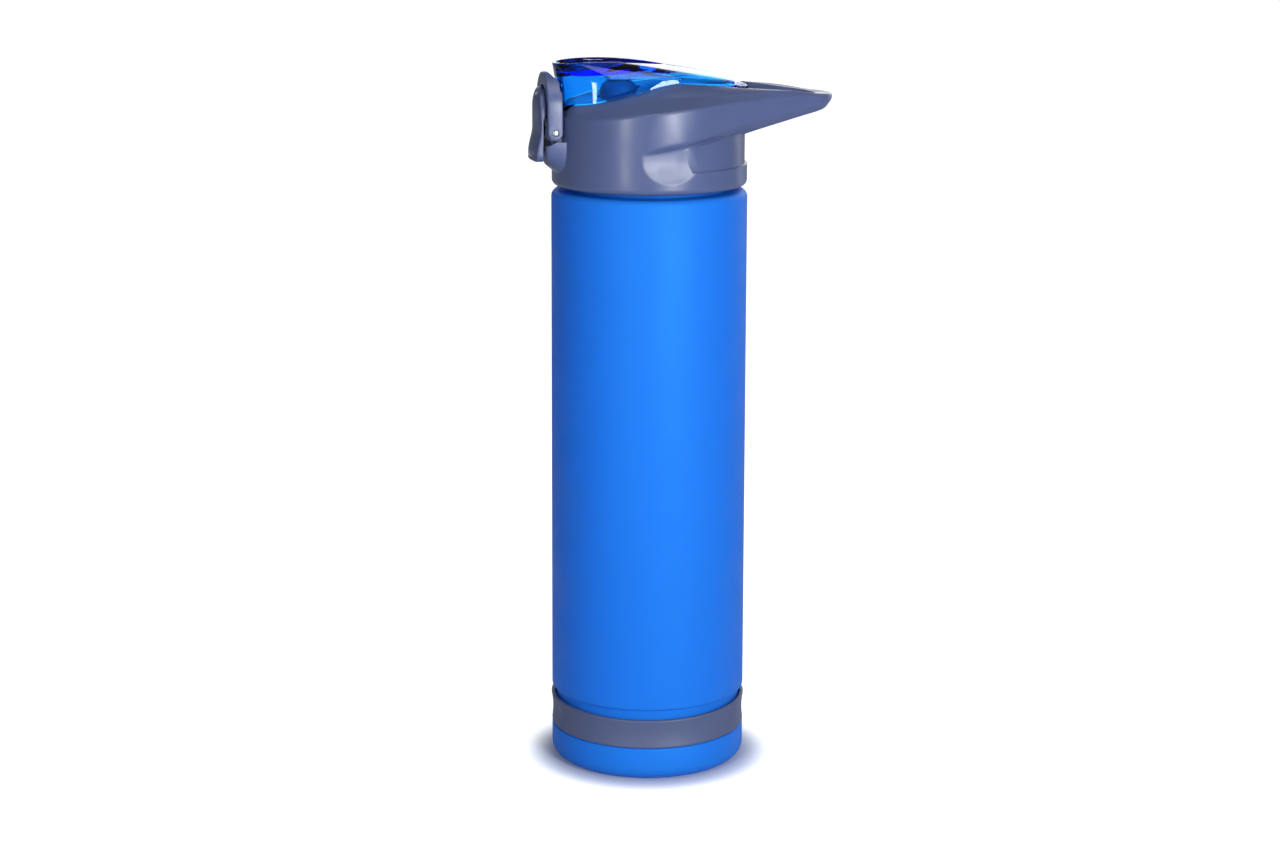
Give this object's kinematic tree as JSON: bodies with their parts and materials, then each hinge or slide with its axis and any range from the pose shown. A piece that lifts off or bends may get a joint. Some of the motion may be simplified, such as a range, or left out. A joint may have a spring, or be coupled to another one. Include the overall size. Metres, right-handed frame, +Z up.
{
  "type": "water bottle",
  "caption": "Slim sports water bottle with a grip band, a screw cap, a flip cover with a locking front paddle, and a rear carry loop.",
  "frame": {"origin": "centre of the flat base, on the surface that the bottle stands on", "axes": "+Z up along the bottle, -Y towards the front paddle, +Y towards the carry loop, +X to the right seen from the front"},
  "size_m": [0.0708, 0.1089, 0.2552],
  "materials": {
    "frosted_blue": "frosted, translucent",
    "clear_blue": "clear, polished",
    "cap_plastic": "satin",
    "band_silicone": "matte",
    "liner_plastic": "satin",
    "seal_silicone": "matte",
    "steel": "polished"
  },
  "bodies": {
    "bottle": {"bottle_body": "frosted_blue", "grip_band": "band_silicone"},
    "seal": {"cap_gasket": "seal_silicone"},
    "cap": {"cap_shell": "cap_plastic", "thread_liner": "liner_plastic", "drink_spout": "liner_plastic", "hinge_pin": "steel", "front_pin": "steel", "hinge_spring": "steel"},
    "cover": {"flip_cover": "clear_blue", "spout_plug": "seal_silicone"},
    "button": {"latch_button": "cap_plastic", "button_spring": "steel"},
    "ring": {"lock_ring": "cap_plastic"}
  },
  "joints": [
    {"name": "cap_lift", "type": "slide", "parent": "bottle", "child": "seal", "axis": [0, 0, 1], "range_m": [0, 0.00625]},
    {"name": "cap_turn", "type": "hinge", "parent": "seal", "child": "cap", "pos_m": [0, 0, 0.2], "axis": [0, 0, 1], "range_deg": [0, 450]},
    {"name": "cover_hinge", "type": "hinge", "parent": "cap", "child": "cover", "pos_m": [0, 0.03, 0.2443], "axis": [-1, 0, 0], "range_deg": [0, 110]},
    {"name": "button_press", "type": "hinge", "parent": "cap", "child": "button", "pos_m": [0, -0.03575, 0.2312], "axis": [1, 0, 0], "range_deg": [0, 10], "stiffness_Nm_per_rad": 0.05, "springref_deg": -9.74},
    {"name": "ring_swing", "type": "hinge", "parent": "cap", "child": "ring", "pos_m": [0, -0.03575, 0.2312], "axis": [1, 0, 0], "range_deg": [0, 115]}
  ],
  "couplings": [
    {"joint": "cap_lift", "follows": "cap_turn", "m_per_rad": 0.00079577}
  ]
}
